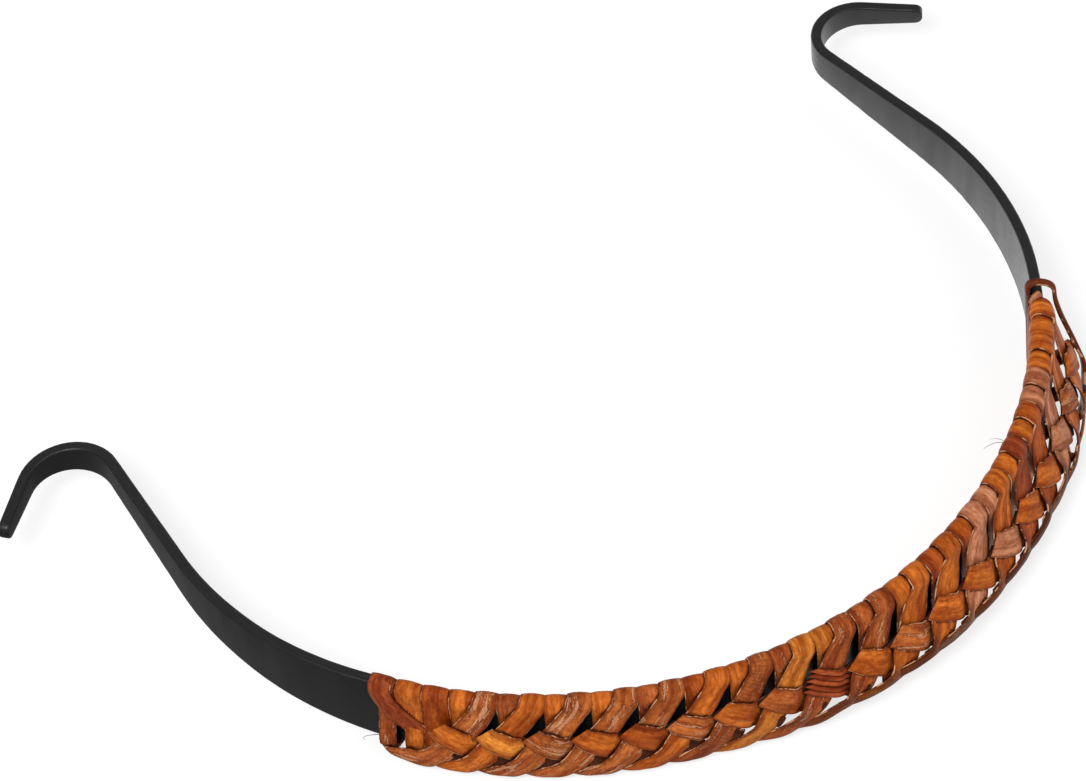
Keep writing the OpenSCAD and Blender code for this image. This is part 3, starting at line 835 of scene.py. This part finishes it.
# ---------------------------------------------------------------- materials
class Nodes:
    """Short calls for building the shader tree of a material or world."""

    def __init__(self, owner, output="ShaderNodeOutputMaterial"):
        owner.use_nodes = True
        self.owner, self.tree = owner, owner.node_tree
        self.tree.nodes.clear()
        self.out = self.tree.nodes.new(output)

    def put(self, socket, value):
        if isinstance(value, bpy.types.NodeSocket):
            self.tree.links.new(value, socket)
        else:
            socket.default_value = value

    def node(self, kind, inputs=None, **settings):
        n = self.tree.nodes.new(kind)
        for k, v in settings.items():
            setattr(n, k, v)
        for k, v in (inputs or {}).items():
            self.put(n.inputs[k], v)
        return n

    def surface(self, shader):
        self.tree.links.new(shader.outputs[0], self.out.inputs["Surface"])
        return self.owner

    def math(self, op, a, b=0.0):
        return self.node("ShaderNodeMath", {0: a, 1: b}, operation=op).outputs[0]

    def plus(self, a, b):
        return self.math("ADD", a, b)

    def minus(self, a, b):
        return self.math("SUBTRACT", a, b)

    def times(self, a, b):
        return self.math("MULTIPLY", a, b)

    def remap(self, value, a, b, c=0.0, d=1.0, smooth=False):
        """Takes a to b onto c to d, and holds the ends."""
        n = self.node("ShaderNodeMapRange",
                      {"Value": value, "From Min": a, "From Max": b, "To Min": c, "To Max": d})
        n.interpolation_type = "SMOOTHSTEP" if smooth else "LINEAR"
        n.clamp = True
        return n.outputs[0]

    def mix(self, factor, a, b, blend="MIX"):
        n = self.node("ShaderNodeMix", data_type="RGBA", blend_type=blend)
        self.put(n.inputs[0], factor)
        self.put(n.inputs[6], a)
        self.put(n.inputs[7], b)
        return n.outputs[2]

    def tinted(self, factor, colour, tint):
        """The colour multiplied by a tint, as far as the factor says."""
        return self.mix(factor, colour, self.mix(1.0, colour, tint, "MULTIPLY"))

    def attribute(self, name, output="Fac"):
        return self.node("ShaderNodeAttribute", attribute_name=name).outputs[output]

    def strip_uv(self):
        return self.node("ShaderNodeUVMap", uv_map="strip").outputs[0]

    def scaled(self, vector, along, across):
        return self.node("ShaderNodeVectorMath", {0: vector, 1: (along, across, 1)},
                         operation="MULTIPLY").outputs[0]

    def noise(self, uv, along, across, detail, rough, distortion=0.0):
        """Fractal noise with so many lumps to the unit along and across."""
        return self.node("ShaderNodeTexNoise", {"Vector": self.scaled(uv, along, across), "Scale": 1.0,
                                                "Detail": detail, "Roughness": rough,
                                                "Distortion": distortion}).outputs["Fac"]

    def specks(self, uv, along, across, radius, chance, smooth=False):
        """Round specks in some of a grid's cells: they fade over radius, and chance says how many cells."""
        cells = self.node("ShaderNodeTexVoronoi", {"Vector": self.scaled(uv, along, across), "Scale": 1.0})
        pick = self.node("ShaderNodeTexWhiteNoise", {"Vector": cells.outputs["Position"]},
                         noise_dimensions="2D")
        return self.times(self.remap(cells.outputs["Distance"], *radius, 1.0, 0.0, smooth),
                          self.remap(pick.outputs["Value"], *chance))

    def principled(self, colour, roughness, height, strength, distance, constants):
        """A shader with a bump, and with constants that are set on its own sockets."""
        bump = self.node("ShaderNodeBump", {"Height": height, "Strength": strength, "Distance": distance})
        shader = self.node("ShaderNodeBsdfPrincipled", {"Base Color": colour, "Roughness": roughness,
                                                        "Normal": bump.outputs[0]})
        for name, value in constants.items():
            shader.inputs[name].default_value = value
        return self.surface(shader)


def grey(v):
    return (v, v, v, 1)


# multipliers of the strip's own colour
DARK_STREAK, LIGHT_STREAK = (0.66, 0.50, 0.42, 1), (1.32, 1.42, 1.5, 1)
# the second multiplier lightens the skin's mottling and also paints sheen on it
FIBRE_TINT, LIGHT_MOTTLE_AND_SHEEN, MOTTLE_DARK = (0.62, 0.5, 0.45, 1), (1.35, 1.65, 2.2, 1), (0.66, 0.55, 0.5, 1)
EDGE_TINT = (0.60, 0.48, 0.42, 1)
# colours
# the first colour is for painted glints, the second for the pale cut walls
PAINTED_GLINT, CUT_EDGE = (0.66, 0.33, 0.16, 1), (0.62, 0.31, 0.16, 1)
BARE_DEEP, BARE_LIGHT = (0.36, 0.125, 0.050, 1), (0.60, 0.28, 0.14, 1)
BARE_GRIT, BARE_FIBRE = (0.80, 0.50, 0.32, 1), (0.20, 0.055, 0.020, 1)
LIP_DARK, FIBRE_DARK = (0.07, 0.013, 0.004, 1), (0.10, 0.022, 0.006, 1)
RING_DARK, PIT_DARK = (0.16, 0.035, 0.008, 1), (0.09, 0.018, 0.005, 1)
# the second colour is the painted shade where strips close in on each other
EDGE_DARK, PAINTED_CREVICE_SHADE = (0.11, 0.022, 0.006, 1), (0.022, 0.005, 0.003, 1)
HOOP_BLACK, HOOP_SCUFF, DUST = (0.007, 0.007, 0.008, 1), (0.018, 0.018, 0.019, 1), (0.22, 0.22, 0.22, 1)


def rattan_material():
    m = Nodes(bpy.data.materials.new("rattan"))
    uv = m.strip_uv()
    tint = m.attribute("tint", "Color")
    torn = m.attribute("torn")
    edge = m.attribute("edge")
    rings = m.attribute("rings")
    crevice_shade = m.attribute("crevice_shade")

    # the fibres run along the strip
    broad = m.noise(uv, 0.9, 6.0, 2, 0.5)
    fibre = m.noise(uv, 2.2, 46.0, 3, 0.6)
    fine = m.noise(uv, 9.0, 150.0, 2, 0.6)
    mottle = m.noise(uv, 9.0, 16.0, 4, 0.65)
    grit = m.noise(uv, 44.0, 62.0, 2, 0.6)
    patch = m.noise(uv, 1.5, 9.0, 5, 0.72, 0.35)
    worn = m.noise(uv, 4.5, 2, 3, 0.55)
    pit = m.specks(uv, 14, 24, (0.10, 0.26), (0.66, 0.70), True)

    # streaks, fibres and mottling of the skin; the light mottling is also painted sheen
    colour = m.mix(m.remap(broad, 0.34, 0.66, 0, 1, True), m.mix(1.0, tint, DARK_STREAK, "MULTIPLY"),
                   m.mix(1.0, tint, LIGHT_STREAK, "MULTIPLY"))
    colour = m.tinted(m.remap(fibre, 0.42, 0.72, 0.0, 0.6), colour, FIBRE_TINT)
    colour = m.tinted(m.remap(mottle, 0.46, 0.66, 0.0, 0.8), colour, LIGHT_MOTTLE_AND_SHEEN)
    colour = m.tinted(m.remap(mottle, 0.50, 0.34, 0.0, 0.6), colour, MOTTLE_DARK)
    colour = m.tinted(m.remap(edge, 0.35, 0.95, 0.0, 0.5, True), colour, EDGE_TINT)
    # painted glints: small pale specks, more of them on rough strips
    glints = m.plus(m.times(grit, 0.75), m.times(mottle, 0.25))
    glint_line = m.minus(0.635, m.times(torn, 0.07))
    colour = m.mix(m.remap(m.minus(glints, glint_line), 0.0, 0.09, 0.0, 0.6), colour, PAINTED_GLINT)
    # torn skin: long pale patches with a dark ragged line round them
    line = m.minus(0.70, m.times(torn, 0.26))
    depth = m.minus(m.plus(patch, m.times(m.minus(grit, 0.5), 0.10)), line)
    bare = m.remap(depth, -0.004, 0.014, 0.0, 1.0, True)
    lip = m.times(m.remap(m.math("ABSOLUTE", m.plus(depth, 0.010)), 0.0, 0.011, 1.0, 0.0),
                  m.remap(torn, 0.15, 0.35))
    pale = m.mix(m.remap(fibre, 0.35, 0.65), BARE_DEEP, BARE_LIGHT)
    pale = m.mix(m.remap(grit, 0.52, 0.70, 0.0, 0.6), pale, BARE_GRIT)
    pale = m.mix(m.remap(fine, 0.54, 0.70, 0.0, 0.5), pale, BARE_FIBRE)
    colour = m.mix(m.times(bare, 0.8), colour, pale)
    colour = m.mix(m.times(lip, 0.75), colour, LIP_DARK)
    # dark fibres, rings across the ringed strip, and pits
    colour = m.mix(m.remap(fine, 0.60, 0.76, 0.0, 0.45), colour, FIBRE_DARK)
    wave = m.node("ShaderNodeTexWave", {"Vector": m.scaled(uv, 1, 0.08), "Scale": 5.2, "Distortion": 1.2,
                                        "Detail": 2.0})
    band = m.times(m.remap(wave.outputs["Fac"], 0.82, 0.97), rings)
    colour = m.mix(m.times(band, 0.45), colour, RING_DARK)
    colour = m.mix(m.times(pit, 0.5), colour, PIT_DARK)
    # edges: a dark line just inside, then a cut wall that is pale where it is worn
    colour = m.mix(m.remap(edge, 0.80, 0.95, 0.0, 0.55, True), colour, EDGE_DARK)
    cut = m.times(m.remap(edge, 0.945, 0.98), m.remap(worn, 0.50, 0.58, 0.0, 0.85))
    colour = m.mix(cut, colour, CUT_EDGE)
    # painted shade: darker where other strips close in over a point, as their shadow would fall
    colour = m.mix(m.remap(crevice_shade, 0.06, 0.55, 0.0, 0.93), colour, PAINTED_CREVICE_SHADE)

    height = m.plus(m.plus(m.times(fibre, 0.35), m.times(fine, 0.25)), m.times(grit, 0.45))
    for sunk, depth in ((bare, 0.6), (lip, 0.6), (pit, 0.5), (band, 0.4)):
        height = m.minus(height, m.times(sunk, depth))
    roughness = m.plus(m.remap(mottle, 0.35, 0.65, 0.34, 0.52), m.times(bare, 0.16))
    return m.principled(colour, roughness, height, 0.85, 0.00011, {"IOR": 1.45, "Specular IOR Level": 0.08})


def hoop_material():
    m = Nodes(bpy.data.materials.new("hoop_plastic"))
    uv = m.strip_uv()
    grain = m.noise(uv, 60, 60, 4, 0.7)
    scuff = m.noise(uv, 4, 30, 5, 0.7)
    dust = m.specks(uv, 7, 9, (0.03, 0.07), (0.8, 0.82))
    colour = m.mix(m.remap(scuff, 0.5, 0.8), HOOP_BLACK, HOOP_SCUFF)
    colour = m.mix(m.times(dust, 0.5), colour, DUST)
    return m.principled(colour, m.remap(scuff, 0.3, 0.75, 0.30, 0.46), m.plus(grain, m.times(scuff, 0.6)),
                        0.35, 0.00003, {"IOR": 1.40})


# ---------------------------------------------------------------- the pieces
hoop = build_hoop()
hoop.data.materials.append(hoop_material())
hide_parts("hoop")
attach(hoop, "root")

rattan = rattan_material()
for node, piece in build_rattan().items():
    piece.data.materials.append(rattan)
    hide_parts(node)
    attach(piece, "root")

# ---------------------------------------------------------------- floor, backdrop and light
FLOOR_HALF, FLOOR_Z = 3, -0.0002  # metres
AMBIENT, BACKDROP = 0.47, 1.0
FLOOR_WHITE, FLOOR_SEEN, FLOOR_GLOW = 0.8, 0.30, 0.72
# where the floor's painted reflection goes from dim to bright, and how dim and bright it glows
STUDIO_LEFT, STUDIO_RIGHT, STUDIO_DIM, STUDIO_BRIGHT = -0.05, 0.03, 0.25, 1.4


def floor_material():
    m = Nodes(bpy.data.materials.new("floor"))
    path = m.node("ShaderNodeLightPath")
    # painted reflection: in glossy rays the floor glows, dim to the left of the hoop and bright to its
    # right, so the hoop's gloss shows a studio that is dim to its left
    place = m.node("ShaderNodeSeparateXYZ", {0: m.node("ShaderNodeTexCoord").outputs["Object"]})
    painted_reflection = m.remap(place.outputs["X"], STUDIO_LEFT, STUDIO_RIGHT, STUDIO_DIM, STUDIO_BRIGHT, True)
    plain = m.node("ShaderNodeBsdfDiffuse", {"Color": grey(FLOOR_WHITE)})
    soft = m.node("ShaderNodeBsdfDiffuse", {"Color": grey(FLOOR_SEEN)})
    glow = m.node("ShaderNodeEmission", {"Color": grey(1.0), "Strength": FLOOR_GLOW})
    seen = m.node("ShaderNodeAddShader", {0: soft.outputs[0], 1: glow.outputs[0]})
    mirrored = m.node("ShaderNodeEmission", {"Color": grey(1.0), "Strength": painted_reflection})
    lit = m.node("ShaderNodeMixShader", {0: path.outputs["Is Glossy Ray"], 1: plain.outputs[0],
                                         2: mirrored.outputs[0]})
    return m.surface(m.node("ShaderNodeMixShader", {0: path.outputs["Is Camera Ray"], 1: lit.outputs[0],
                                                    2: seen.outputs[0]}))


corners = [(x * FLOOR_HALF, y * FLOOR_HALF, 0) for x, y in ((-1, -1), (1, -1), (1, 1), (-1, 1))]
floor = add_mesh("floor", corners, [(0, 1, 2, 3)])
floor.location.z = FLOOR_Z
floor.data.materials.append(floor_material())

world = bpy.data.worlds.new("painted_reflection")
bpy.context.scene.world = world
sky = Nodes(world, "ShaderNodeOutputWorld")
path = sky.node("ShaderNodeLightPath")
looked_at = sky.math("MAXIMUM", path.outputs["Is Camera Ray"], path.outputs["Is Transmission Ray"])
ambient = sky.node("ShaderNodeBackground", {"Color": grey(1.0), "Strength": AMBIENT})
backdrop = sky.node("ShaderNodeBackground", {"Color": grey(1.0), "Strength": BACKDROP})
sky.surface(sky.node("ShaderNodeMixShader", {0: looked_at, 1: ambient.outputs[0], 2: backdrop.outputs[0]}))


def lamp(name, position, size, power):
    """A square lamp that points at the origin."""
    data = bpy.data.lights.new(name, "AREA")
    data.size = size
    data.energy = power
    obj = bpy.data.objects.new(name, data)
    bpy.context.scene.collection.objects.link(obj)
    obj.location = position
    obj.rotation_euler = (-Vector(position)).to_track_quat("-Z", "Y").to_euler()


lamp("key", (-0.45, -0.25, 0.75), 0.35, 5.6)
lamp("fill", (0.35, -0.55, 0.55), 0.6, 1.6)

bpy.context.scene.view_settings.view_transform = "Standard"
